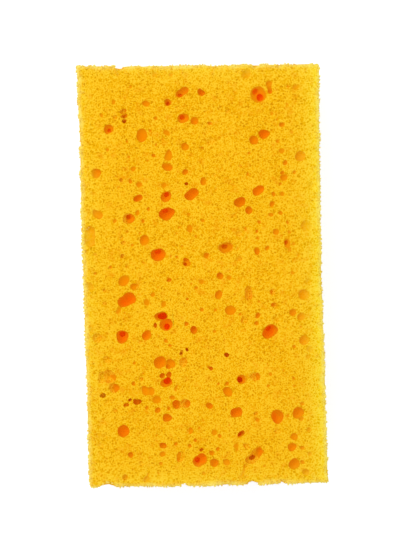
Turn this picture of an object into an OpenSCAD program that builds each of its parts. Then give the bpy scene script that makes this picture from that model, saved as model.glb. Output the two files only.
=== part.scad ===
// Cleaning sponge: one block of open-cell foam, with gas bubbles cut open by its faces.
// +X runs across the width, +Y along the length and +Z up. The origin is under the middle
// of the block, on the flat underside. All sizes are in millimetres.

/* [Block] */
// Width of the block at its +Y end
block_w = 81.2; // [60:0.1:120]
// Length of the block, from its furthest corner to its furthest corner
block_l = 141.8; // [110:0.1:200]
// Thickness of the block
block_t = 40; // [25:1:60]
// How much narrower the -Y end is than the +Y end
taper = 1.1; // [0:0.1:3]
// How far the +X side is pulled in at the middle of its length
waist = 0.6; // [0:0.1:2]
// How far the +Y end falls back from its -X corner to its +X corner
far_skew = 1.3; // [0:0.1:3]
// How far the -Y end falls back from its +X corner to its -X corner
near_skew = 0.3; // [0:0.1:3]
// Length lost at the one worn upright corner
worn_corner = 1.5; // [0.4:0.1:4]

/* [Bubbles in the top face] */
// How far their pattern lies off the middle of the face, across the width
pattern_x = 0.5; // [-1:0.1:1]
// How far their pattern lies off the middle of the face, along the length
pattern_y = -0.3; // [-1:0.1:1]
// How far the gas bubbles grew, where 1 is as made
bubble_growth = 1; // [0.8:0.05:1.2]
// Depth of a deep bubble as a share of its mouth, which leaves its walls undercut
deep_share = 0.65; // [0.55:0.05:0.9]
// Depth of an ordinary bubble as a share of its mouth
half_share = 0.45; // [0.35:0.05:0.6]
// Depth of a shallow dimple as a share of its mouth
dimple_share = 0.25; // [0.15:0.05:0.35]
// Depth of a pinhole as a share of its mouth
pinhole_share = 1.3; // [0.9:0.05:1.5]

/* [Bubbles in the other faces] */
// Spacing of the bubbles in the underside, the long sides and the ends
bubble_pitch = 11; // [9:0.5:20]
// Mouth of the smallest bubble there
bubble_min = 1.8; // [1.5:0.1:2.5]
// Mouth of the largest bubble there
bubble_max = 5; // [3:0.1:6]
// Depth of the shallowest bubble there as a share of its mouth
share_min = 0.25; // [0.15:0.05:0.4]
// Depth of the deepest bubble there as a share of its mouth
share_max = 0.7; // [0.5:0.05:0.9]
// Share of the places that hold a bubble
bubble_fill = 0.8; // [0.3:0.05:1]
// Width of the plain border that keeps these bubbles clear of the top face
border_w = 6; // [5:0.5:10]

/* [Torn ends] */
// How far down each end the torn grooves run before they fade out
groove_h = 16; // [10:1:24]

/* [Hidden] */

// Sphere facets in the preview mesh
$fn = 14;

// Each bubble is x, y and the width of its mouth. A long one adds its extra length and the
// direction of its long axis.

// Deep bubbles
DEEP = [
    [-6.3, 61.6, 2.4, 2.2, 40],
    [-10.8, 58, 2.3],
    [0.2, 61.1, 3],
    [-30.8, 50, 2.6, 0.8, 20],
    [-6.2, 52.4, 2.9, 0.5, 15],
    [20.9, 46.8, 3.4],
    [-22, 26.4, 2.6, 0.4, 20],
    [-12.1, 26.8, 3, 0.6, 10],
    [-3.7, 27.2, 3, 2, 40],
    [18.3, 28, 3, 1.3, 40],
    [12.2, 24.3, 3.1, 0.8, 25],
    [-12.1, 21.1, 3.9, 0.9, 25],
    [-25.1, 19.9, 3, 1, 10],
    [6.9, 9.1, 3, 1.8, 35],
    [27.7, 10.1, 1.8, 1.2, 100],
    [-15.7, 7.4, 4.5],
    [-6.4, 3.7, 1.9, 0.7, 0],
    [14.3, -6.1, 2.7, 1.8, 95],
    [-26.4, -7.6, 4.1, 1.6, 40],
    [-15, -13.2, 3, 0.6, 10],
    [-13.4, -16, 3.5],
    [-4.1, -18.4, 2.5],
    [-28.4, -20, 3.8, 0.6, 80],
    [-20, -19.8, 3],
    [21.2, -19, 4.5, 0.5, 20],
    [11.3, -34.9, 2.8, 0.5, 30],
    [-14, -35.1, 2.6, 0.8, 20],
    [-10.1, -43, 3],
    [-7.7, -42.7, 2.8],
    [9.5, -45.9, 3, 1.2, 5],
    [22.9, -47.8, 3.8, 0.6, 20],
    [-28.8, -51.2, 3.3, 0.6, 20],
    [10.4, -53.4, 1.9, 0.6, 0],
    [-15.1, -56.7, 1.7, 0.7, 0],
    [14.8, -60.6, 3.2, 3.4, 46],
    [-3.6, -62, 3.7, 1.2, 25]
];

// Ordinary bubbles
HALF = [
    [19.2, 60.3, 5, 0.4, 100],
    [23.2, 63.4, 2.5],
    [-18.2, 57.9, 2.2],
    [-2.2, 51.8, 3.1],
    [27.4, 49.4, 2],
    [-19.8, 47.3, 3.3, 0.5, 90],
    [17.3, 45, 3],
    [-5.6, 43, 2.7],
    [-11.2, 40.5, 2.6, 0.9, 80],
    [32.6, 38.6, 3.6],
    [27.6, 37.1, 1.9],
    [-11.7, 36.6, 3, 0.5, 0],
    [-35.6, 34.8, 3.4],
    [26.8, 33.9, 1.7],
    [0.5, 31.7, 2.6, 0.4, 0],
    [15.2, 21.5, 2.6],
    [-35.3, 21.4, 2.8, 1.6, -5],
    [-4.8, 15.7, 2.4],
    [24, 14.3, 2.1],
    [-38, 14, 3.4, 3.2, 85],
    [11.4, 13.7, 2],
    [-19.9, 12.1, 3.5],
    [17.4, 7.8, 2.5],
    [0.4, 6.6, 2.3],
    [11.4, 5.3, 2.5],
    [5, -0.6, 2.5],
    [-27.4, -1.2, 3.4],
    [-24, -3.3, 2.4, 0.5, 10],
    [22.4, -6.1, 2],
    [4.6, -6.7, 2.9],
    [32.9, -7.2, 3.9],
    [8.2, -11.6, 3, 0.8, 10],
    [29.2, -12.7, 2.4],
    [16.9, -14, 2.1],
    [32, -14.4, 2.8],
    [12.6, -15.6, 2.3],
    [23.2, -15.3, 2.4],
    [-36.7, -20, 3.2],
    [32.5, -22.6, 3.5],
    [-33.8, -27.3, 2.5],
    [-15.6, -28.8, 3.7, 0.6, 20],
    [-8.2, -29, 2.9],
    [-12.2, -29.5, 3],
    [-32.9, -33.2, 4.4],
    [-35.3, -33.4, 2.4, 1.3, 90],
    [15.7, -34.2, 3.3],
    [-31.4, -37, 3.7],
    [-21.4, -38, 3.2],
    [-19.2, -38, 2.7],
    [6.9, -39, 3],
    [0.3, -44.1, 2.4],
    [30.1, -46.5, 3.9],
    [-13.6, -47.3, 3.1],
    [-6.9, -52, 2.3],
    [22.9, -52.4, 1.6, 0.6, 0],
    [28.1, -54.5, 2.2],
    [27.5, -58, 3.1],
    [-15.3, -59.1, 1.7, 0.4, 10],
    [-9.7, -60.6, 2.6, 1, 90],
    [1.2, -62.5, 2.9],
    [-22.7, -62.5, 1.8],
    [5.2, -62.8, 2.5],
    [28.5, -64, 3.7],
    [-28.8, -67, 2.5],
    [31.8, -67, 2.2],
    [-21, -67.7, 2.7]
];

// Shallow dimples
DIMPLES = [
    [-15, 68, 2.8],
    [-9.7, 67.8, 2.2],
    [15.3, 66.7, 3.4, 0.6, 60],
    [31.6, 62, 2.6],
    [31.8, 59.2, 1.8],
    [23.8, 53.8, 2],
    [2, 48.1, 2.6],
    [-11.3, 48, 2.8],
    [8.2, 46.8, 2.4],
    [30.3, 46.8, 2.2],
    [3, 44.8, 3.2],
    [-38, 44.3, 1.8],
    [27.3, 32, 3],
    [-21.6, 31.2, 2.4],
    [-13.1, 30.3, 2.2],
    [36.3, 29.4, 2.6],
    [-36.5, 28.3, 2],
    [10.2, 19.8, 2],
    [34.4, 15.5, 4.6],
    [28.4, 8, 2.2],
    [31.3, 6, 2],
    [8.1, -0.6, 2.4],
    [-1.5, -1.9, 2.4],
    [34.8, -2.8, 2.6],
    [-38.8, -2.9, 3],
    [-19.5, -8.5, 2.5],
    [-14, -9.3, 2.4],
    [-28.9, -11, 2, 0.8, 40],
    [-38.5, -17.6, 2.4],
    [-13.9, -21.3, 2],
    [34.4, -25.6, 2.6],
    [33.5, -28, 2],
    [-7.5, -34.5, 2],
    [-10, -37.3, 2.6],
    [-11.6, -40.6, 2.4],
    [-17.2, -41.2, 3.4],
    [-35.6, -48, 2.2],
    [-36.6, -56, 2.2],
    [8.8, -57, 2.2],
    [11.4, -66, 1.6, 3, 62]
];

// Small bubbles, as deep for their size as the ordinary ones
SMALL = [
    [-27.2, 67.6, 1.6],
    [21.5, 66.4, 1.4],
    [9.8, 63.9, 1.6],
    [-23.5, 63.3, 1.4],
    [29.2, 62.7, 1.3],
    [11.3, 61.1, 1.2],
    [8.6, 54.9, 1.6],
    [-17.2, 48.8, 1.3],
    [-12.7, 45.5, 1.2],
    [25.8, 44.6, 1.6],
    [-15.5, 44, 1.2],
    [-31.8, 43, 1.4],
    [26.8, 41.2, 1.9],
    [15.9, 40.8, 1.2],
    [-26.2, 36.3, 1.8],
    [-23.2, 36.2, 1.9],
    [6.1, 35.3, 1.4],
    [-6.2, 34.4, 2],
    [-24.6, 32.3, 1.6],
    [26.8, 26.2, 1.6],
    [23.8, 26.2, 1.6],
    [23.1, 23.2, 1.8],
    [-22.2, 21.7, 1.8],
    [22.9, 19.9, 1.8],
    [-29.8, 19, 1.6],
    [-20.1, 18.6, 1.4],
    [18.2, 17.7, 1.4],
    [-7.9, 16.5, 1.2],
    [-25.8, 15.7, 1.8],
    [13.5, 15.3, 1.6],
    [-21.5, 14.7, 1.2],
    [28.6, 14.2, 1.6],
    [-27.8, 13.2, 1.5],
    [-24.4, 10.5, 1.5],
    [20.8, 8.5, 1.8],
    [-36.3, 7.8, 1.4],
    [-26, 3.5, 1.5],
    [-31.6, 3.3, 1.4],
    [8.3, 1.8, 1.6],
    [29.5, 0.4, 1.6],
    [-33.2, -4, 1.4],
    [-3.2, -4, 1.4],
    [-17.5, -6, 1.6],
    [23.4, -11.4, 2],
    [16.7, -16.5, 1.6],
    [-22.3, -22, 1.4],
    [-12.6, -23.2, 1.4],
    [29, -25, 1.4],
    [-24.4, -28.8, 1.3],
    [20.8, -33.5, 1.4],
    [6.4, -36.5, 1.6],
    [20.2, -37.4, 1.4],
    [-34, -41.8, 1.4],
    [-31.3, -44.1, 1.4],
    [-13, -44.2, 1.3],
    [15.7, -46.7, 1.6],
    [16.3, -49.1, 1.6],
    [-3.5, -51.2, 1.2],
    [33, -52.3, 1.6],
    [1.4, -52.5, 2],
    [3.3, -53.5, 1.6],
    [-10.9, -56.3, 1.4],
    [24.2, -56.6, 1.2],
    [2.4, -57.8, 1.6],
    [31, -58.5, 1.8],
    [0.3, -59.3, 1.8],
    [-26.2, -59.8, 2],
    [33.5, -60.6, 1.6],
    [-16.2, -63, 1.5],
    [31.2, -63.5, 1.6],
    [18.4, -63.9, 1.2],
    [-17, -65.5, 1.2],
    [-20.4, -66, 1.3],
    [-2.5, -66.2, 1.4],
    [12.5, -67.3, 1.4]
];

// Tiny bubbles, as deep for their size as the ordinary ones
TINY = [
    [-20.3, 63, 0.9],
    [-8.3, 60, 1],
    [-29.5, 58.5, 1.6],
    [-24.7, 57.7, 0.9],
    [-8, 56.2, 1.1],
    [-33.2, 54, 1.4],
    [-28.4, 53.8, 1.8],
    [-9.8, 53.3, 0.9],
    [-15, 53, 1.5],
    [-19, 51.5, 0.9],
    [-24.6, 45.7, 1.2],
    [-16.2, 40.6, 1.6],
    [-24.5, 40.5, 1.2],
    [-18.2, 38.6, 1],
    [-29, 33.6, 1],
    [-28.5, 30, 1.3],
    [28.6, 56.4, 1.3],
    [21, 55.8, 1],
    [5.6, 55.6, 1.3],
    [1.2, 55, 1.3],
    [27.3, 54, 1],
    [11.2, 53.7, 1.2],
    [17, 53.2, 0.9],
    [25.9, 52, 1.2],
    [23.3, 48.2, 1],
    [13.5, 47.2, 0.9],
    [10.6, 45.7, 0.9],
    [0.3, 43, 1.5],
    [11.9, 42.2, 1],
    [19.3, 41.8, 1],
    [8.8, 38.2, 1],
    [9.1, 36.8, 1],
    [12.4, 36, 1.6],
    [30.8, 33.6, 1.4],
    [14.8, 33.4, 1.2],
    [4, 33.3, 1.3],
    [8.8, 31, 1],
    [26.3, 29.6, 1.2],
    [10.2, 29.6, 1],
    [4.6, 29, 1.2],
    [-18.2, 22.4, 1.4],
    [31, 20.8, 1],
    [25.7, 20.2, 1.6],
    [-4.6, 20, 1.4],
    [-0.2, 18, 1.4],
    [27.8, 17.2, 1.5],
    [5.7, 17, 1.2],
    [17.8, 14.4, 1.6],
    [-9.3, 13.7, 1],
    [-2.4, 13.2, 1.4],
    [25.6, 13, 1.3],
    [13.7, 12.2, 1.1],
    [17.7, 12, 1.5],
    [1.4, 11.3, 1.2],
    [-7.6, 10.4, 1.1],
    [-31.8, 10, 1],
    [29.7, 9.7, 1.6],
    [10.8, 9, 1.5],
    [-11.5, 6.4, 1.4],
    [-8.9, 6, 1.4],
    [21.5, 5.4, 0.9],
    [-20.7, 4.7, 1.3],
    [-13.2, 1.8, 0.9],
    [-36.8, 1.4, 1.4],
    [-12.4, 0, 1.2],
    [-4.5, -2.4, 1],
    [-16.2, -4, 1],
    [-21.3, -5, 0.9],
    [-9.8, -5, 1.3],
    [24.3, -7.5, 0.8],
    [-6.6, -7.6, 1.2],
    [17.2, -8, 0.8],
    [-33.8, -8.2, 1.5],
    [30, -8.7, 0.8],
    [17.6, -9.1, 1.2],
    [22, -10.4, 1],
    [-1.4, -11.2, 1.6],
    [3.2, -11.5, 1.3],
    [-26.8, -12, 1],
    [11.2, -13.5, 1.4],
    [-6.6, -16.2, 1.8],
    [26.4, -18, 1],
    [32, -18.2, 1.3],
    [2.8, -18.9, 1.2],
    [6.1, -21.9, 0.9],
    [21.4, -26.6, 0.9],
    [14.4, -27.4, 0.9],
    [24.3, -28.5, 1],
    [0.8, -30.4, 1.2],
    [20.2, -30.4, 1],
    [-21, -32, 1],
    [25.7, -32.2, 1.2],
    [-22, -34, 1.5],
    [-24.8, -35.3, 1.6],
    [29, -35.4, 1.2],
    [3.5, -36.5, 1.2],
    [28.5, -38, 1],
    [24.5, -38.6, 0.9],
    [-24.6, -41.3, 1.2],
    [31.5, -43.5, 1.5],
    [-20.5, -43.8, 1.4],
    [-16.8, -45, 2],
    [26.5, -47.3, 1.2],
    [-2.4, -48.7, 1],
    [31.2, -48.8, 1.6],
    [-19.8, -49.8, 0.9],
    [6.9, -50, 1],
    [2.3, -50.5, 0.9],
    [14.5, -50.6, 1],
    [20.5, -52.2, 0.8],
    [-18.4, -52.5, 0.8],
    [-35, -52.8, 1.6],
    [-17.6, -53, 1],
    [-4.8, -55.3, 1.5],
    [-6.8, -57.2, 1.4],
    [12.5, -57.5, 2],
    [16.8, -57.8, 1.2],
    [9, -58.2, 1.2],
    [17.8, -59.5, 1.2],
    [-20, -60.3, 1],
    [12.3, -64.3, 1.8]
];

// Pinholes, where a thin skin over a bubble beneath has burst
PINHOLES = [
    [23.3, 62.1, 0.9],
    [23.3, 61.1, 1.1],
    [-25.7, 55.8, 1.2],
    [-25.5, 54.1, 1.2],
    [-25.6, 52.5, 1.2],
    [3.1, 50.8, 1],
    [-27.5, 32.5, 1],
    [-5.4, 30.6, 1],
    [-27.2, 11.5, 1],
    [-27.4, 7, 1],
    [-6.4, 5, 1.2],
    [-12, -1, 1],
    [23, -10.5, 1.3],
    [-16.6, -16.2, 1.2],
    [-12.2, -16.3, 1.2],
    [-6.4, -24.5, 1],
    [-8.7, -26, 0.9, 1.1, 60],
    [6.5, -26.7, 1.4],
    [-13.3, -30.6, 1.2],
    [1.7, -31, 1],
    [-13.3, -33, 1.3],
    [-15.1, -33, 1.2],
    [-35.4, -39.3, 1.4],
    [-26.2, -41, 1],
    [-23.6, -42, 1.4, 1, 10],
    [-27.4, -42.7, 0.9, 0.9, 0],
    [-2.8, -58.4, 0.9, 0.8, 45]
];

// Windows in the floors of larger bubbles, into the bubble beneath: x, y, width, depth reached
WINDOWS = [
    [19.7, 59.2, 2.4, 3.6],
    [18.1, 61.3, 2, 3],
    [-30.4, 49.6, 1.5, 2.8],
    [-12.6, 22.2, 1.9, 3.6],
    [-13.7, 21, 0.9, 2.6],
    [-25.3, 20.3, 1.7, 3.1],
    [6.5, 9.6, 1.7, 3.1],
    [-15.6, 8.7, 2.2, 4],
    [-13.6, -12.7, 2, 3.4],
    [-28.3, -18.9, 2.1, 3.8],
    [20.3, -17.9, 2, 4],
    [-4.6, -61.9, 1.9, 3.6],
    [14, -61.3, 1.9, 3.4]
];

// Grooves torn down the ends: x, end (1 is +Y, -1 is -Y), width at the top face, depth there
GROOVES = [
    [-26.4, 1, 3.6, 1.5],
    [7.5, 1, 13, 0.6],
    [-34, -1, 6.2, 2],
    [-22.3, -1, 1.6, 0.7],
    [-8, -1, 2.6, 1.5],
    [14.6, -1, 3.8, 1.9],
    [24.4, -1, 3, 1]
];

// Flat strips that make up the bowed +X side
SIDE_STEPS = 8;
// Sum of the index weights that gives each place on a face a number of its own
ROW_WEIGHT = 97;
FACE_WEIGHT = 1009;
// Share of the pitch by which a bubble may stray from its place
STRAY = 0.4;
// A groove's cutter reaches past the top face, so that it cuts cleanly
OVERCUT = 4;

// Place of the two ends at a given x, and of the two long sides at a given y
function far_y(x) = block_l / 2 - far_skew * (0.5 + x / block_w);
function near_y(x) = -block_l / 2 + near_skew * (0.5 - x / block_w);
function left_x(y) = -(block_w - taper * (0.5 - y / block_l)) / 2;
function right_x(y) = -left_x(y) - waist * (1 - pow(2 * y / block_l, 2));

// Radius of a sphere or cylinder, given the width and depth of the cut that it leaves in a face
function cut_radius(mouth, depth) = (mouth * mouth / 4 + depth * depth) / (2 * depth);

// Five chances from low to high that belong to one place on one face
function chance(face, i, j, low, high) = rands(low, high, 5, face * FACE_WEIGHT + i * ROW_WEIGHT + j);

// One bubble cut open by the plane z = 0, with its floor the given depth under it
module bubble(mouth, depth) {
    radius = cut_radius(mouth, depth);
    translate([0, 0, radius - depth])
        sphere(r = radius);
}

// A long bubble, made of bubbles that ran together
module long_bubble(mouth, share, reach, angle) {
    steps = ceil(2 * reach / mouth);
    rotate([0, 0, angle])
        for (step = [0 : steps])
            translate([reach * (step / steps - 0.5), 0, 0])
                bubble(mouth, mouth * share);
}

// Every bubble of one list, in the top face
module top_bubbles(list, share) {
    for (row = list)
        translate([row[0] + pattern_x, row[1] + pattern_y, block_t])
            if (len(row) > 3)
                long_bubble(row[2] * bubble_growth, share, row[3], row[4]);
            else
                bubble(row[2] * bubble_growth, row[2] * bubble_growth * share);
}

// The windows under the larger bubbles
module windows() {
    for (row = WINDOWS)
        translate([row[0] + pattern_x, row[1] + pattern_y, block_t - (row[3] - row[2] / 2) * bubble_growth])
            sphere(d = row[2] * bubble_growth);
}

// Bubbles scattered over a face that spans u by v, lies in z = 0 and faces +Z
module scattered(face, span_u, span_v) {
    count_u = floor(span_u / 2 / bubble_pitch);
    count_v = floor(span_v / 2 / bubble_pitch);
    for (i = [-count_u : count_u])
        for (j = [-count_v : count_v]) {
            draw = chance(face, i, j, 0, 1);
            mouth = (bubble_min + (bubble_max - bubble_min) * draw[2] * draw[2]) * bubble_growth;
            share = share_min + (share_max - share_min) * draw[4];
            u = (i + (2 * draw[0] - 1) * STRAY) * bubble_pitch;
            v = (j + (2 * draw[1] - 1) * STRAY) * bubble_pitch;
            if (draw[3] < bubble_fill)
                translate([u, v, 0])
                    bubble(mouth, mouth * share);
        }
}

// The bubbles of the underside, the two long sides and the two ends
module other_faces() {
    side_span = block_t - 2 * border_w;
    mirror([0, 0, 1])
        scattered(1, block_w, block_l);
    translate([left_x(0), 0, block_t / 2])
        rotate([0, -90, 0])
            scattered(2, side_span, block_l);
    translate([right_x(block_l / 4), 0, block_t / 2])
        rotate([0, 90, 0])
            scattered(3, side_span, block_l);
    translate([0, far_y(0), block_t / 2])
        rotate([-90, 0, -atan(far_skew / block_w)])
            scattered(4, block_w, side_span);
    translate([0, near_y(0), block_t / 2])
        rotate([90, 0, -atan(near_skew / block_w)])
            scattered(5, block_w, side_span);
}

// One groove: a cylinder that leans outwards, deepest at the top face and faded out at groove_h
module groove(x, end, width, depth) {
    radius = cut_radius(width, depth);
    lean = atan(depth / groove_h);
    end_y = end > 0 ? far_y(x) : near_y(x);
    translate([x, end_y + end * (radius - depth), block_t])
        rotate([end * lean, 0, 0])
            translate([0, 0, -groove_h - OVERCUT])
                cylinder(r = radius, h = groove_h + 2 * OVERCUT, $fn = 64);
}

// The plain block: a tapered plan with skewed ends, one bowed side and one worn corner
module block() {
    left_far = left_x(block_l / 2);
    left_near = left_x(-block_l / 2);
    bowed_side = [
        for (step = [0 : SIDE_STEPS])
            let (y = far_y(block_w / 2) + (near_y(block_w / 2) - far_y(block_w / 2)) * step / SIDE_STEPS)
            [right_x(y), y]
    ];
    linear_extrude(block_t)
        polygon(concat(
            [[left_far, far_y(left_far)]],
            bowed_side,
            [[left_near + worn_corner, near_y(left_near)], [left_near, near_y(left_near) + worn_corner]]
        ));
}

// The sponge: the block less every bubble and groove
module sponge() {
    color("#f7b612")
        difference() {
            block();
            top_bubbles(DEEP, deep_share);
            top_bubbles(HALF, half_share);
            top_bubbles(DIMPLES, dimple_share);
            top_bubbles(SMALL, half_share);
            top_bubbles(TINY, half_share);
            top_bubbles(PINHOLES, pinhole_share);
            windows();
            other_faces();
            for (row = GROOVES)
                groove(row[0], row[1], row[2], row[3]);
        }
}

sponge();
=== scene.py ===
import math

import bpy
import numpy as np
import openvdb
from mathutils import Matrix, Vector


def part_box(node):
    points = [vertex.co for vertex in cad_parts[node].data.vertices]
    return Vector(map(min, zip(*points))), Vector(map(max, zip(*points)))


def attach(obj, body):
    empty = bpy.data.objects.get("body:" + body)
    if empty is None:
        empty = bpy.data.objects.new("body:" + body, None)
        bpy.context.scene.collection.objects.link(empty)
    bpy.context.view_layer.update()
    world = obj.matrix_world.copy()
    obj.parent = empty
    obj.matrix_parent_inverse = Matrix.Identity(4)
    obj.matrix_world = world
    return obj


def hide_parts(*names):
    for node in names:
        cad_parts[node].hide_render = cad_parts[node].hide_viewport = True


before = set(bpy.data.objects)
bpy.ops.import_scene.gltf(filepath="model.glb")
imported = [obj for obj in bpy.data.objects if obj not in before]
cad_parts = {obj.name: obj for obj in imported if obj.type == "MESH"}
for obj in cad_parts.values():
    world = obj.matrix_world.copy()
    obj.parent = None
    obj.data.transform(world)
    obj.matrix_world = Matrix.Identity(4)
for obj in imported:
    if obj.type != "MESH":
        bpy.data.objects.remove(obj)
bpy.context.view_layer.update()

# ---------------------------------------------------------------- the block, in millimetres
MM = 0.001
LOW, HIGH = (np.array(corner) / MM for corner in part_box("sponge"))
THICKNESS = HIGH[2] - LOW[2]
LINE_STEPS = 8  # stretches in which each upright face is measured
RIM_LIGHT_PEAK, RIM_LIGHT_WIDTH = 0.7, 3.0  # painted light along the edges, where light gets in through the foam: how strong, and the width over which it fades
RIGHT_RIM_LIGHT, RIGHT_RIM_LIGHT_WIDTH = 0.8, 3.5  # what the edges of the +X side add to that painted light, as light falls strongest on that side
# the most painted edge light that any place gets
MOST_RIM_LIGHT = 0.95
BRINK_LIGHT_PEAK, BRINK_LIGHT_WIDTH = 0.75, 1.7  # painted light at the very edge, where light gets through the thin torn foam and its fuzz shines: how strong, and how far in it reaches
BRINK_LIGHT_FALL = 1.5  # how fast it fades on the way in, as a power
LOW_BRINK_LIGHT = 0.35  # what the bottom edges keep of it: little light gets in down there
LIGHT_FALL = 2  # how fast the light falls with the height, as a power
# Notches torn down the ends from the top: x, end (1 is +Y, -1 is -Y), width and depth at the top
NOTCHES = [
    (-26.4, 1, 3.6, 1.5),
    (7.5, 1, 13, 0.6),
    (-34, -1, 6.2, 2),
    (-22.3, -1, 1.6, 0.7),
    (-8, -1, 2.6, 1.5),
    (14.6, -1, 3.8, 1.9),
    (24.4, -1, 3, 1),
]
NOTCH_HEIGHT = 16  # how far down they reach before they fade out
NOTCH_SLACK = 0.4  # within this of a notch's wall, a place still belongs to the wall


def vertex_places(mesh):
    """The mesh's vertices in millimetres, one row each."""
    places = np.empty(len(mesh.vertices) * 3, np.float32)
    mesh.vertices.foreach_get("co", places)
    return places.reshape(-1, 3) / np.float32(MM)


SOLID_PLACES = vertex_places(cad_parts["sponge"].data)


def face_line(axis, side):
    """How far out one upright face of the CAD solid lies, at places along it."""
    along, out = SOLID_PLACES[:, 1 - axis], SOLID_PLACES[:, axis] * side
    bounds = np.linspace(along.min(), along.max(), LINE_STEPS + 1)
    stretch = np.clip(np.digitize(along, bounds) - 1, 0, LINE_STEPS - 1)
    furthest = [np.flatnonzero(stretch == k)[out[stretch == k].argmax()] for k in range(LINE_STEPS)]
    furthest.sort(key=lambda k: along[k])
    return along[furthest], out[furthest]


# The +X, -X, +Y and -Y faces
RIGHT, LEFT, FAR, NEAR = face_line(0, 1), face_line(0, -1), face_line(1, 1), face_line(1, -1)


def depths(x, y, z):
    """How far a place lies under the long sides, under the ends, and under the top or bottom."""
    sides = np.minimum(np.interp(y, *RIGHT) - x, np.interp(y, *LEFT) + x)
    ends = np.minimum(np.interp(x, *FAR) - y, np.interp(x, *NEAR) + y)
    return sides, ends, THICKNESS / 2 - abs(z - THICKNESS / 2)


def middle(a, b, c):
    """The middle one of three: of the three depths, it tells how far a place on a face is from an edge."""
    return np.maximum(np.minimum(a, b), np.minimum(np.maximum(a, b), c))


def painted_rim_light(x, y, z):
    """How strong the painted light along the edges is at a place, from 0 to 1: where light gets in through
    the foam, and most on the +X side, where light falls strongest.
    """
    sides, ends, faces = depths(x, y, z)
    along_right = np.maximum(np.interp(y, *RIGHT) - x, faces)
    rim_lit = RIM_LIGHT_PEAK * np.exp(-middle(sides, ends, faces) / RIM_LIGHT_WIDTH)
    return np.clip(rim_lit + RIGHT_RIM_LIGHT * np.exp(-along_right / RIGHT_RIM_LIGHT_WIDTH), 0, MOST_RIM_LIGHT)


def lit(z):
    """The share of the painted light at the torn edges that foam keeps at a height: all at the top, least at
    the bottom.
    """
    return LOW_BRINK_LIGHT + (1 - LOW_BRINK_LIGHT) * np.clip(z / THICKNESS, 0, 1) ** LIGHT_FALL


def painted_brink_light(x, y, z):
    """How strong the painted light at the torn edges is at a place, from 0 to 1: only round the very edges of
    the top and bottom.
    """
    sides, ends, faces = depths(x, y, z)
    from_edge = np.maximum(np.minimum(sides, ends), faces)
    return BRINK_LIGHT_PEAK * lit(z) * np.clip(1 - from_edge / BRINK_LIGHT_WIDTH, 0, 1) ** BRINK_LIGHT_FALL


def notch_depth(x, y, z):
    """How deep the notches are at a place."""
    deepest = np.zeros(len(x))
    for centre, end, width, depth in NOTCHES:
        across = np.clip(1 - (2 * (x - centre) / (width + NOTCH_SLACK)) ** 2, 0, 1)
        down = np.clip(1 - (THICKNESS - z) / NOTCH_HEIGHT, 0, 1)
        here = (depth * down + NOTCH_SLACK * (down > 0)) * np.sqrt(across)
        deepest = np.maximum(deepest, np.where(y * end > 0, here, 0))
    return deepest


# ---------------------------------------------------------------- the foam, carved as a volume
VOXEL = 0.3
MARGIN = 1.5  # empty space kept round the block
SPARE = 2 * VOXEL  # how far past a bubble the grid is changed
BAND = 4  # voxels of true distance on each side of the surface
SEED = 7
MM2_PER_CM2 = 100

# Small bubbles by kind: how many to a square centimetre, the smallest and largest mouth, and the least
# and greatest depth as a share of the mouth
BUBBLE_KINDS = [
    (0.35, (1.8, 3.0), (0.2, 0.5)),
    (1.0, (1.1, 1.8), (0.25, 0.5)),
    (3.5, (0.7, 1.1), (0.4, 0.7)),
    (0.2, (0.8, 1.2), (0.9, 1.2)),
]
SMALL_BIAS = 2  # how much rarer the wider ones of a kind are, as a power
WHOLE = 0.3  # a bubble starts only where there is foam this far under the face
# Bubbles that lie under the top face's bubbles and burst into them: x, y, width, and the depth reached
BURST = [
    (-14.1, -13.7, 2.4, 5.8),
    (-12.8, -16.9, 1.7, 4.8),
    (-13.3, -34.9, 2.1, 4.5),
    (11, -35.4, 1.9, 3.7),
    (-11.5, 27.2, 1.6, 3.6),
    (-10.3, 57.3, 1.3, 2.7),
    (-6.2, 52.5, 1.5, 3),
    (-6.6, 60.2, 1.3, 2.7),
    (-25.2, 52, 0.9, 2.1),
    (-25.1, 53.8, 0.9, 2.3),
    (-6.5, 3.1, 1.3, 2.3),
    (-8.4, -26.5, 1, 2),
    (26.8, 33.9, 1.5, 2.1),
    (10.4, -53.4, 1.7, 2.5),
    (-35.3, -33.4, 1.6, 2.1),
    (27.7, 10.1, 1.5, 2.3),
]
BURST_COVER = 0.6  # how far under the top face they start
CELL = 0.93  # one foam cell: 27 to the inch
UNEVEN, UNEVEN_WAVE = 0.4, 20.0  # the cut faces' slow hollows
CHEWED, CHEWED_WAVE, CHEWED_REACH = 0.7, 2.4, 6.0  # the rougher strip along the edges, and its width
FLAT_SHARE = 0.4  # how much of the faces those two leave flat
RAGGED, RAGGED_REACH = 0.6, 1.4  # cells torn out at the very edges, and how far in they reach
TORN_CONTRAST, TORN_RARITY = 3.0, 1.0  # how sharply torn cells end, and how rare they are
WARP, WARP_WAVE = 0.6, 3.5  # how unevenly the bubbles grew
MOST_TRIANGLES = 166_000  # of the block with its bubbles: the torn struts come on top
# Torn strut ends that stand out along the edges: how many to a square millimetre, and how far in they stand
STRUT_STRIPS = [(1.6, 1.0), (0.4, 3.0)]
# From the middle of a strut's foot to its corners: real struts, about 0.1 thick, are too fine to show
STRUT_WIDTH = (0.22, 0.45)
STRUT_LENGTH = (0.25, 0.85)  # how far the pointed end stands out
STRUT_LEAN = 0.5  # how unevenly they lean
STRUT_EDGE_LIGHT = 0.6  # the painted light at the edge that they get on the upright faces, at the top
UPRIGHT = 0.5  # a face is upright if its normal rises or falls by less than this
STRUT_FACES = np.array([(0, 1, 2), (0, 2, 3), (0, 3, 1), (1, 3, 2)])  # corner 0 is the pointed end
CHART_MARGIN = 1.5  # kept round each of the six faces in the map for baking
CRISP = math.radians(40)  # where two faces meet at more than this, the edge between them is crisp


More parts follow.
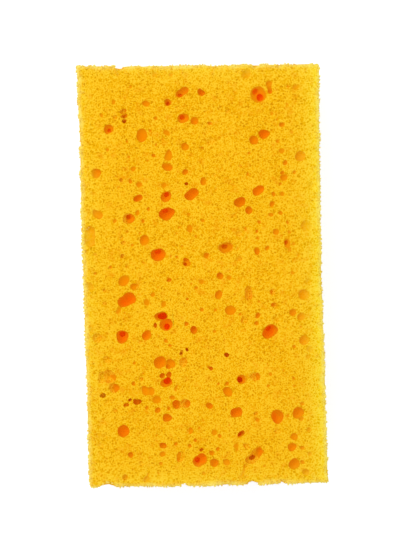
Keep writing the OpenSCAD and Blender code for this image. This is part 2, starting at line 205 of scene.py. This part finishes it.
def solid_distances():
    """The CAD solid as distances to its surface on a grid, less than 0 inside, and the grid's first place."""
    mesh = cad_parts["sponge"].data
    mesh.calc_loop_triangles()
    corners = np.empty(len(mesh.loop_triangles) * 3, np.int32)
    mesh.loop_triangles.foreach_get("vertices", corners)
    level_set = openvdb.FloatGrid.createLevelSetFromPolygons(
        SOLID_PLACES,
        triangles=corners.reshape(-1, 3).astype(np.uint32),
        transform=openvdb.createLinearTransform(VOXEL),
        halfWidth=BAND,
    )
    start = np.floor((LOW - MARGIN) / VOXEL).astype(int)
    count = np.ceil((HIGH + MARGIN) / VOXEL).astype(int) - start
    solid = np.empty(tuple(count), np.float32)
    level_set.copyToArray(solid, ijk=tuple(int(i) for i in start))
    return solid, start


def axes_of(start, shape):
    """The grid's x, y and z, each shaped so that it spreads over the whole grid."""
    x, y, z = ((start[k] + np.arange(shape[k], dtype=np.float32)) * VOXEL for k in range(3))
    return x[:, None, None], y[None, :, None], z[None, None, :]


def eased(at):
    """The lattice step below a place, and the share of the next step, eased at both."""
    low = np.floor(at).astype(int)
    share = (at - low).astype(np.float32)
    return low, share * share * (3 - 2 * share)


def soft_noise(shape, wave, rng):
    """Smooth noise from 0 to 1 on the whole grid, with bumps about a wave apart."""
    steps = [int(n * VOXEL / wave) + 3 for n in shape]  # enough for both ends of the last wave
    values = rng.uniform(0, 1, steps).astype(np.float32)
    for axis, n in enumerate(shape):
        low, share = eased(np.arange(n) * VOXEL / wave)
        share = share.reshape([-1 if k == axis else 1 for k in range(3)])
        values = np.take(values, low, axis) * (1 - share) + np.take(values, low + 1, axis) * share
    return values


def noise_at(places, wave, rng):
    """Three smooth noises from -1 to 1 at each place, with bumps about a wave apart."""
    at = (places - LOW + 2 * MARGIN) / wave
    steps = np.ceil(at.max(0)).astype(int) + 2
    values = rng.uniform(-1, 1, [*steps, 3]).astype(np.float32)
    low, share = eased(at)
    total = 0
    for corner in np.ndindex(2, 2, 2):
        weight = np.prod(np.where(corner, share, 1 - share), axis=1, keepdims=True)
        total = total + weight * values[tuple((low + corner).T)]
    return total


def part_round(solid, start, centre, reach):
    """The part of the grid within reach of a place, and the distance of each point there from the place."""
    low = np.maximum(np.floor((centre - reach) / VOXEL).astype(int) - start, 0)
    high = np.minimum(np.ceil((centre + reach) / VOXEL).astype(int) - start + 1, solid.shape)
    part = solid[low[0]:high[0], low[1]:high[1], low[2]:high[2]]
    x, y, z = axes_of(start + low, part.shape)
    return part, np.sqrt((x - centre[0]) ** 2 + (y - centre[1]) ** 2 + (z - centre[2]) ** 2)


def scattered(rng, per_cm2, mouths, shares):
    """Bubbles cut open by each face: the centre, the radius, and a place just under the mouth's middle."""
    for axis in range(3):
        across = [k for k in range(3) if k != axis]
        span = (HIGH - LOW)[across]
        for way in (-1, 1):
            for _ in range(int(per_cm2 * span[0] * span[1] / MM2_PER_CM2)):
                mouth = mouths[0] + (mouths[1] - mouths[0]) * rng.random() ** SMALL_BIAS
                depth = mouth * rng.uniform(*shares)
                radius = (mouth * mouth / 4 + depth * depth) / (2 * depth)
                place = np.where(way > 0, HIGH, LOW).astype(float)
                place[across] = LOW[across] + span * rng.random(2)
                place[axis] -= way * depths(*place)[axis]  # onto the face itself, which isn't quite square
                inwards = np.zeros(3)
                inwards[axis] = -way
                yield place - inwards * (radius - depth), radius, place + inwards * WHOLE


def carve(solid, start, centre, radius):
    """Takes a ball of foam out of the solid."""
    part, away = part_round(solid, start, centre, radius + SPARE)
    np.maximum(part, radius - away, out=part)


def sampled(volume, start, places):
    """The values of the volume at the places, straight between its points."""
    at = places / VOXEL - start
    low = np.floor(at).astype(int)
    share = at - low
    total = np.zeros(len(places), np.float32)
    for corner in np.ndindex(2, 2, 2):
        weight = np.prod(np.where(corner, share, 1 - share), axis=1)
        total += weight * volume[tuple((low + corner).T)]
    return total


def new_mesh(name, places, faces):
    """A mesh from places in millimetres and faces of one size."""
    sides = faces.shape[1]
    mesh = bpy.data.meshes.new(name)
    mesh.vertices.add(len(places))
    mesh.vertices.foreach_set("co", (places * MM).astype(np.float32).ravel())
    mesh.loops.add(faces.size)
    mesh.loops.foreach_set("vertex_index", faces.astype(np.int32).ravel())
    mesh.polygons.add(len(faces))
    mesh.polygons.foreach_set("loop_start", np.arange(0, faces.size, sides, dtype=np.int32))
    mesh.update(calc_edges=True)
    mesh.validate()
    return mesh


def cut_block(start, shape, rng):
    """The block without bubbles, with uneven faces and ragged edges, as distances like the solid's."""
    x, y, z = axes_of(start, shape)
    sides, ends, faces = depths(x, y, z)
    edge = middle(sides, ends, faces)
    block = np.maximum(soft_noise(shape, UNEVEN_WAVE, rng) - FLAT_SHARE, 0) * UNEVEN
    chewed = np.maximum(soft_noise(shape, CHEWED_WAVE, rng) - FLAT_SHARE, 0) * CHEWED
    block += chewed * np.clip(1 - edge / CHEWED_REACH, 0, 1)
    torn = np.clip(soft_noise(shape, CELL, rng) * TORN_CONTRAST - TORN_RARITY, 0, 1)
    block += torn * RAGGED * np.clip(1 - edge / RAGGED_REACH, 0, 1)
    block -= np.minimum(np.minimum(sides, ends), faces)
    return block


def warp(places, rng):
    """Shifts places along the faces and not off them, so that the bubbles are less than round."""
    held = np.stack(depths(*places.T), axis=1)
    return places + WARP * noise_at(places, WARP_WAVE, rng) * np.clip(held, 0, 1)


def decimated(mesh, triangles):
    """The mesh, of four-sided faces, brought down to that many triangles where its form needs them least."""
    piece = bpy.data.objects.new("decimated", mesh)
    bpy.context.scene.collection.objects.link(piece)
    modifier = piece.modifiers.new("fewer", "DECIMATE")
    modifier.ratio = min(1.0, triangles / (2 * len(mesh.polygons)))
    modifier.use_collapse_triangulate = True
    shaped = piece.evaluated_get(bpy.context.evaluated_depsgraph_get())
    fewer = bpy.data.meshes.new_from_object(shaped)
    bpy.data.objects.remove(piece)
    bpy.data.meshes.remove(mesh)
    return fewer


def torn_struts(mesh, rng):
    """Pointed ends of torn struts near the block's edges: places, faces, and the painted edge light at each
    place.
    """
    count = len(mesh.polygons)
    centres, normals, areas = (np.empty(count * n, np.float32) for n in (3, 3, 1))
    mesh.polygons.foreach_get("center", centres)
    mesh.polygons.foreach_get("normal", normals)
    mesh.polygons.foreach_get("area", areas)
    centres, normals = centres.reshape(-1, 3) / MM, normals.reshape(-1, 3)
    edge = middle(*depths(*centres.T))
    picked = []
    for per_mm2, reach in STRUT_STRIPS:
        inside = areas / MM ** 2 * (edge < reach)
        picked.append(rng.choice(count, int(inside.sum() * per_mm2), p=inside / inside.sum()))
    picked = np.concatenate(picked)
    base, out = centres[picked], normals[picked]
    brink_light = np.where(abs(out[:, 2]) < UPRIGHT, STRUT_EDGE_LIGHT * lit(base[:, 2]), painted_brink_light(*base.T))
    lean = out + rng.normal(0, STRUT_LEAN, base.shape)
    lean /= np.linalg.norm(lean, axis=1, keepdims=True)
    side = np.cross(lean, rng.normal(0, 1, base.shape))
    side /= np.linalg.norm(side, axis=1, keepdims=True)
    width = rng.uniform(*STRUT_WIDTH, (len(base), 1))
    length = rng.uniform(*STRUT_LENGTH, (len(base), 1))
    foot = base - lean * width
    corners = [base + lean * length]
    for turn in range(3):
        angle = turn * 2 * math.pi / 3
        corners.append(foot + width * (side * math.cos(angle) + np.cross(lean, side) * math.sin(angle)))
    places = np.stack(corners, axis=1).reshape(-1, 3)
    places[:, 2] = np.maximum(places[:, 2], 0)  # none reaches into the floor
    first = np.arange(len(base))[:, None, None] * len(corners)
    return places, (first + STRUT_FACES).reshape(-1, 3), np.repeat(brink_light, len(corners))


def laid_out(mesh, places, faces):
    """Gives the mesh its map for baking: the block's six faces side by side, each triangle on the nearest."""
    centre = places[faces].mean(axis=1)
    nearest = np.stack(depths(*centre.T), axis=1).argmin(axis=1)
    positive = np.take_along_axis(centre - (LOW + HIGH) / 2, nearest[:, None], axis=1)[:, 0] > 0
    span = HIGH - LOW + 2 * CHART_MARGIN
    width, height = 2 * span[0] + 2 * span[2], span[1] + span[2]
    # For each axis that a face looks along: the axes laid to the right and up, and where both charts start
    charts = {
        0: (2, 1, (2 * span[0], 0), (2 * span[0] + span[2], 0)),
        1: (0, 2, (0, span[1]), (span[0], span[1])),
        2: (0, 1, (0, 0), (span[0], 0)),
    }
    uv = np.zeros((len(faces), 3, 2))
    for axis, (across, up, *starts) in charts.items():
        for side, start in enumerate(starts):
            here = (nearest == axis) & (positive == bool(side))
            corners = places[faces[here]] - LOW + CHART_MARGIN
            uv[here, :, 0] = (corners[..., across] + start[0]) / width
            uv[here, :, 1] = (corners[..., up] + start[1]) / height
    mesh.uv_layers.new(name="OFBake").data.foreach_set("uv", uv.astype(np.float32).ravel())


def foam_volume(rng):
    """The sponge, and the block without its bubbles, as distances on a grid, and the grid's first place."""
    solid, start = solid_distances()
    for kind in BUBBLE_KINDS:
        for centre, radius, inside in scattered(rng, *kind):
            nearby, _ = part_round(solid, start, inside, VOXEL)
            if nearby.size and nearby.max() < 0:
                carve(solid, start, centre, radius)
    for x, y, width, bottom in BURST:
        for depth in np.arange(BURST_COVER + width / 2, bottom - width / 2, VOXEL):
            carve(solid, start, np.array((x, y, THICKNESS - depth)), width / 2)
    block = cut_block(start, solid.shape, rng)
    np.maximum(solid, np.maximum(block, -BAND * VOXEL), out=solid)
    return solid, block, start


def surface(solid, start):
    """The surface of a volume as a mesh of triangles."""
    grid = openvdb.FloatGrid(BAND * VOXEL)
    grid.transform = openvdb.createLinearTransform(VOXEL)
    grid.copyFromArray(solid, ijk=tuple(int(i) for i in start))
    places, quads = grid.convertToQuads(0.0)
    return decimated(new_mesh("whole", places, quads[:, ::-1]), MOST_TRIANGLES)


def foam_mesh():
    """The sponge with its torn struts. Each vertex notes how deep it lies, and how much painted light along
    the edges and at the very edges it gets.
    """
    rng = np.random.default_rng(SEED)
    solid, block, start = foam_volume(rng)
    body = surface(solid, start)
    places = vertex_places(body)
    depth = np.maximum(-sampled(block, start, places) - notch_depth(*places.T), 0)
    brink_light = painted_brink_light(*places.T)
    places = warp(places, rng)
    body.vertices.foreach_set("co", (places * MM).astype(np.float32).ravel())
    body.update()
    corners = np.empty(len(body.polygons) * 3, np.int32)
    body.polygons.foreach_get("vertices", corners)
    struts, strut_faces, strut_brink_light = torn_struts(body, rng)
    faces = np.concatenate([corners.reshape(-1, 3), strut_faces + len(places)])
    places = np.concatenate([places, struts])
    mesh = new_mesh("sponge_foam", places, faces)
    noted = {
        "bubble_depth": np.concatenate([depth, np.zeros(len(struts))]),
        "rim_light": painted_rim_light(*places.T),
        "brink_light": np.concatenate([brink_light, strut_brink_light]),
    }
    for name, values in noted.items():
        mesh.attributes.new(name, "FLOAT", "POINT").data.foreach_set("value", values.astype(np.float32))
    mesh.shade_smooth()
    mesh.set_sharp_from_angle(angle=CRISP)
    laid_out(mesh, places, faces)
    return mesh


# ---------------------------------------------------------------- finishes
FACTOR, COLOUR_A, COLOUR_B, COLOUR_OUT = 0, 6, 7, 2  # sockets of a Mix node set to colours
NOISE_MIDDLE = 0.5
NOISE_SPAN = {"From Min": 0.3, "From Max": 0.7}  # nearly all of a noise lies between these

# The cut face: a net of bright struts round darker cells. Its grain runs from 0, brightest, to 1, darkest.
STRUT_FADE = 0.24  # how far into a cell its struts' brightness fades, as a share of the cell
LEAST_OPEN, MOST_OPEN = 0.2, 0.85  # how dark the shallowest and the deepest cells are
BEND, BEND_WAVE = 0.7, 0.8  # mm, how strongly the net is bent, and in what waves
# Grain within a cell. The real struts, about 0.1 mm thick, are too fine to show, so it is drawn at 0.5 mm.
FINE, FINE_WAVE, FINE_ROUGHNESS = 0.5, 0.5, 0.7
PATCH, PATCH_WAVE = 0.08, 9  # slow changes, 9 mm from one to the next
BLOTCH, BLOTCH_WAVE = 0.5, 2.6  # orange blotches, 2.6 mm apart: cells that lie a little deeper
BLOTCH_START, BLOTCH_FULL = 0.56, 0.8  # the noise at which a blotch starts, and at which it is full
CUT_COLOURS = [(0.0, "#ffc926"), (0.25, "#f9b700"), (0.5, "#f1aa00"), (0.75, "#e79f00"), (1.0, "#d89200")]
BLOTCH_COLOUR = "#f29000"

# The bubbles' walls: smooth skin with few open cells. Redder the deeper it lies: painted light, bounced round
# inside the hollow and through the foam.
MOUTH = 0.35  # mm under the face, where a bubble's wall has taken over from the cut face
WALL_END = 5.0  # mm under the face, where the walls' colours end
WALL_MOTTLE = 0.03  # how far the grain shifts those colours, as a share of WALL_END
WALL_COLOURS_WITH_DEPTH_LIGHT = [(0.0, "#f0a000"), (0.08, "#ee9400"), (0.2, "#f49900"), (0.35, "#f89100"), (0.6, "#fc7600"),
                (0.8, "#ff6c00"), (1.0, "#ff6000")]
GLOW, GLOW_START, GLOW_FULL = 0.09, 1.5, 4.0  # light that soaks through: it starts 1.5 mm deep, full at 4
GLOW_COLOUR = "#ff8000"

# The rims: light gets in from the side there, and the foam looks paler
RIM_LIT_COLOURS = [(0.0, "#ffe544"), (0.5, "#fad200"), (1.0, "#e8ba00")]
RIM_LIT_WALL, RIM_LIT_WALL_START, RIM_LIT_WALL_FULL = 0.85, 0.05, 0.4  # painted edge light on the bubbles' walls: how strong, and at which strengths of the edge light it starts and is full
RIM_LIT_WALL_COLOUR = "#efb000"
# painted light at the torn edges: light through the thin foam, and the sheen of its fuzz
BRINK_LIGHT_COLOUR = "#fff78e"

RELIEF = 0.03  # mm, how deep the grain looks to the light: the mesh doesn't hold it
WALL_RELIEF = 0.05  # the share of it that smooth walls keep
PAPER_COLOUR = "#f3f3f3"
PAPER_LIFT = "#95aec4"  # light added for the camera: bluish, to balance the yellow light off the sponge


def linear(hex_colour):
    """An sRGB hex colour as linear red, green, blue and alpha."""
    parts = [int(hex_colour[i:i + 2], 16) / 255 for i in (1, 3, 5)]
    return [c / 12.92 if c <= 0.04045 else ((c + 0.055) / 1.055) ** 2.4 for c in parts] + [1.0]


def add(tree, kind, values=None, links=None, stops=None, **settings):
    """Adds a node: its settings, its sockets' values, what feeds its sockets, and a colour ramp's stops."""
    made = tree.nodes.new(kind)
    for name, value in settings.items():
        setattr(made, name, value)
    for socket, value in (values or {}).items():
        made.inputs[socket].default_value = value
    for socket, source in (links or {}).items():
        output = source.outputs[0] if isinstance(source, bpy.types.Node) else source
        tree.links.new(output, made.inputs[socket])
    for index, (place, colour) in enumerate(stops or []):
        ramp = made.color_ramp.elements
        element = ramp[index] if index < len(ramp) else ramp.new(place)
        element.position = place
        element.color = linear(colour)
    return made


def new_material(name):
    """A material with no nodes yet."""
    material = bpy.data.materials.new(name)
    material.use_nodes = True
    material.node_tree.nodes.clear()
    return material


def cell_net(tree, mm):
    """How dark the net of struts and open cells is at a place, from 0 on a strut to MOST_OPEN in a cell."""
    bend = add(tree, "ShaderNodeTexNoise", {"Scale": 1 / BEND_WAVE, "Detail": 1.0}, {"Vector": mm})
    bend = add(tree, "ShaderNodeVectorMath", {1: (NOISE_MIDDLE,) * 3}, {0: bend.outputs["Color"]},
               operation="SUBTRACT")
    bent = add(tree, "ShaderNodeVectorMath", {1: (BEND,) * 3}, {0: bend, 2: mm}, operation="MULTIPLY_ADD")
    border = add(tree, "ShaderNodeTexVoronoi", {"Scale": 1 / CELL}, {"Vector": bent},
                 feature="DISTANCE_TO_EDGE")
    border = add(tree, "ShaderNodeMapRange", {"From Max": STRUT_FADE}, {"Value": border},
                 interpolation_type="SMOOTHSTEP")
    cells = add(tree, "ShaderNodeTexVoronoi", {"Scale": 1 / CELL}, {"Vector": bent})
    opened = add(tree, "ShaderNodeSeparateColor", links={0: cells.outputs["Color"]})
    opened = add(tree, "ShaderNodeMapRange", {"To Min": LEAST_OPEN, "To Max": MOST_OPEN}, {"Value": opened})
    return add(tree, "ShaderNodeMath", links={0: border, 1: opened}, operation="MULTIPLY")


def foam_grain(tree, mm):
    """The grain, from the net, finer grain and slow changes, and then the finer grain alone."""
    fine = add(tree, "ShaderNodeTexNoise",
               {"Scale": 1 / FINE_WAVE, "Detail": 1.0, "Roughness": FINE_ROUGHNESS}, {"Vector": mm})
    fine = add(tree, "ShaderNodeMapRange", {**NOISE_SPAN, "To Min": -FINE, "To Max": FINE}, {"Value": fine})
    patch = add(tree, "ShaderNodeTexNoise", {"Scale": 1 / PATCH_WAVE, "Detail": 3.0}, {"Vector": mm})
    patch = add(tree, "ShaderNodeMapRange", {**NOISE_SPAN, "To Min": -PATCH, "To Max": PATCH},
                {"Value": patch})
    grain = cell_net(tree, mm)
    for change in (fine, patch):
        grain = add(tree, "ShaderNodeMath", links={0: grain, 1: change}, operation="ADD")
    return grain, fine


def cut_face(tree, mm, grain):
    """The colour of a cut face: orange blotches over the grain."""
    cut = add(tree, "ShaderNodeValToRGB", links={"Fac": grain}, stops=CUT_COLOURS)
    blotch = add(tree, "ShaderNodeTexNoise", {"Scale": 1 / BLOTCH_WAVE, "Detail": 1.0}, {"Vector": mm})
    blotch = add(tree, "ShaderNodeMapRange",
                 {"From Min": BLOTCH_START, "From Max": BLOTCH_FULL, "To Max": BLOTCH}, {"Value": blotch})
    return add(tree, "ShaderNodeMix", {COLOUR_B: linear(BLOTCH_COLOUR)}, {FACTOR: blotch, COLOUR_A: cut},
               data_type="RGBA").outputs[COLOUR_OUT]


def bubble_walls(tree, depth, rim_light, fine):
    """The colour of the bubbles' walls, with painted light: redder the deeper they lie, from light bounced
    round inside, and lighter near the edges, from light let in at the sides.
    """
    down = add(tree, "ShaderNodeMath", {1: WALL_END}, {0: depth}, operation="DIVIDE")
    mottle = add(tree, "ShaderNodeMapRange", {"From Min": -FINE, "From Max": FINE,
                                              "To Min": -WALL_MOTTLE, "To Max": WALL_MOTTLE}, {"Value": fine})
    down = add(tree, "ShaderNodeMath", links={0: down, 1: mottle}, operation="ADD")
    # the walls' colour, reddened with depth by painted light
    walls = add(tree, "ShaderNodeValToRGB", links={"Fac": down}, stops=WALL_COLOURS_WITH_DEPTH_LIGHT)
    wall_rim_light = add(tree, "ShaderNodeMapRange",
               {"From Min": RIM_LIT_WALL_START, "From Max": RIM_LIT_WALL_FULL, "To Max": RIM_LIT_WALL}, {"Value": rim_light})
    return add(tree, "ShaderNodeMix", {COLOUR_B: linear(RIM_LIT_WALL_COLOUR)}, {FACTOR: wall_rim_light, COLOUR_A: walls},
               data_type="RGBA").outputs[COLOUR_OUT]


def polyurethane_foam():
    """Polyurethane foam, dyed through, blown and knife-cut: matt, with bright struts round darker cells."""
    material = new_material("polyurethane_foam_blown_and_cut")
    tree = material.node_tree
    here = add(tree, "ShaderNodeTexCoord").outputs["Object"]
    mm = add(tree, "ShaderNodeVectorMath", {1: (1 / MM,) * 3}, {0: here}, operation="MULTIPLY")
    depth, rim_light, brink_light = (add(tree, "ShaderNodeAttribute", attribute_name=name).outputs["Fac"]
                         for name in ("bubble_depth", "rim_light", "brink_light"))
    # Inside a bubble, but not under the painted light at the torn edges.
    inside = add(tree, "ShaderNodeMapRange", {"From Max": MOUTH}, {"Value": depth},
                 interpolation_type="SMOOTHSTEP")
    # where the painted light at the torn edges is not
    whole = add(tree, "ShaderNodeMath", {0: 1.0}, {1: brink_light}, operation="SUBTRACT")
    inside = add(tree, "ShaderNodeMath", links={0: inside, 1: whole}, operation="MULTIPLY")

    # One over the other: the cut face, the bubbles with their painted depth light, the painted light along
    # the edges, and the painted light at the torn edges.
    grain, fine = foam_grain(tree, mm)
    foam = cut_face(tree, mm, grain)
    walls = bubble_walls(tree, depth, rim_light, fine)
    # the cut face's colour under the painted edge light
    rim_lit = add(tree, "ShaderNodeValToRGB", links={"Fac": grain}, stops=RIM_LIT_COLOURS)
    for share, colour in ((inside, walls), (rim_light, rim_lit)):
        foam = add(tree, "ShaderNodeMix", links={FACTOR: share, COLOUR_A: foam, COLOUR_B: colour},
                   data_type="RGBA").outputs[COLOUR_OUT]
    foam = add(tree, "ShaderNodeMix", {COLOUR_B: linear(BRINK_LIGHT_COLOUR)}, {FACTOR: brink_light, COLOUR_A: foam},
               data_type="RGBA").outputs[COLOUR_OUT]

    # Relief, with little of it on the smooth walls, and the light that soaks through to the deep ones.
    skin = add(tree, "ShaderNodeMapRange", {"To Min": 1.0, "To Max": WALL_RELIEF}, {"Value": inside})
    height = add(tree, "ShaderNodeMath", links={0: grain, 1: skin}, operation="MULTIPLY")
    bump = add(tree, "ShaderNodeBump", {"Strength": 1.0, "Distance": RELIEF * MM}, {"Height": height},
               invert=True)
    glow = add(tree, "ShaderNodeMapRange",
               {"From Min": GLOW_START, "From Max": GLOW_FULL, "To Max": GLOW}, {"Value": depth})
    shader = add(tree, "ShaderNodeBsdfPrincipled",
                 {"Roughness": 0.95, "IOR": 1.5, "Specular IOR Level": 0.05,
                  "Emission Color": linear(GLOW_COLOUR)},
                 {"Base Color": foam, "Normal": bump, "Emission Strength": glow})
    add(tree, "ShaderNodeOutputMaterial", links={"Surface": shader})
    return material


def seen_directly(tree):
    """1 for what the camera sees directly, in a glossy face or through glass, and 0 for all other light."""
    path = add(tree, "ShaderNodeLightPath")
    seen = path.outputs["Is Camera Ray"]
    for kind in ("Is Glossy Ray", "Is Transmission Ray"):
        seen = add(tree, "ShaderNodeMath", links={0: seen, 1: path.outputs[kind]}, operation="MAXIMUM")
    return seen


def matt_white_paper():
    """White paper with a brightener: matt, and lifted for the camera to a plain white that keeps a shadow."""
    material = new_material("matt_white_paper")
    tree = material.node_tree
    lift = add(tree, "ShaderNodeEmission", {"Color": linear(PAPER_LIFT)}, {"Strength": seen_directly(tree)})
    paper = add(tree, "ShaderNodeBsdfPrincipled", {"Base Color": linear(PAPER_COLOUR), "Roughness": 0.9})
    both = add(tree, "ShaderNodeAddShader", links={0: lift, 1: paper})
    add(tree, "ShaderNodeOutputMaterial", links={"Surface": both})
    return material


# ---------------------------------------------------------------- the sponge
def placed(name, data):
    """Puts mesh, lamp or camera data into the scene as an object of that name."""
    made = bpy.data.objects.new(name, data)
    bpy.context.scene.collection.objects.link(made)
    return made


foam = placed("sponge_foam", foam_mesh())
foam.data.materials.append(polyurethane_foam())
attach(foam, "root")
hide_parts("sponge")

# ---------------------------------------------------------------- floor, camera, lamp and room, in metres
FLOOR_REACH = 4.0
TOP = Vector((0, 0, HIGH[2] * MM))
TURN = math.radians(1.47)  # how far the camera is turned about the line of sight
CAMERA_HEIGHT = 0.85  # over the top face
VIEW_LENGTH = 0.1805  # of the top face, from the bottom to the top of the view
AIM = Vector((-0.0003, 0.0015, 0))  # where the view's middle falls on the top face
SENSOR = 36  # mm
LAMP_SIZE = 0.6
LAMP_PLACE = Vector((-0.5, 0.5, 0.8))
LAMP_POWER = 2.7  # W
ROOM_LEVEL = 0.835  # how bright the room is on the sponge and the floor: it looks plain white itself

plane = bpy.data.meshes.new("floor")
corners = [(x * FLOOR_REACH, y * FLOOR_REACH, 0) for x, y in ((-1, -1), (1, -1), (1, 1), (-1, 1))]
plane.from_pydata(corners, [], [(0, 1, 2, 3)])
floor = placed("floor", plane)
floor.data.materials.append(matt_white_paper())

camera = placed("camera", bpy.data.cameras.new("camera"))
camera.location = TOP + AIM + Vector((0, 0, CAMERA_HEIGHT))
camera.rotation_euler = (0, 0, -TURN)
camera.data.sensor_fit = "VERTICAL"
camera.data.sensor_height = SENSOR
camera.data.lens = SENSOR * CAMERA_HEIGHT / VIEW_LENGTH
bpy.context.scene.camera = camera

lamp = placed("softbox", bpy.data.lights.new("softbox", "AREA"))
lamp.data.size = LAMP_SIZE
lamp.data.energy = LAMP_POWER
lamp.location = LAMP_PLACE
lamp.rotation_euler = (TOP - LAMP_PLACE).to_track_quat("-Z", "Y").to_euler()

world = bpy.data.worlds.new("even_room")
bpy.context.scene.world = world
world.use_nodes = True
sky = world.node_tree
sky.nodes.clear()
level = add(sky, "ShaderNodeMapRange", {"To Min": ROOM_LEVEL}, {"Value": seen_directly(sky)})
room = add(sky, "ShaderNodeBackground", {"Color": linear("#ffffff")}, {"Strength": level})
add(sky, "ShaderNodeOutputWorld", links={"Surface": room})
bpy.context.scene.view_settings.view_transform = "Standard"
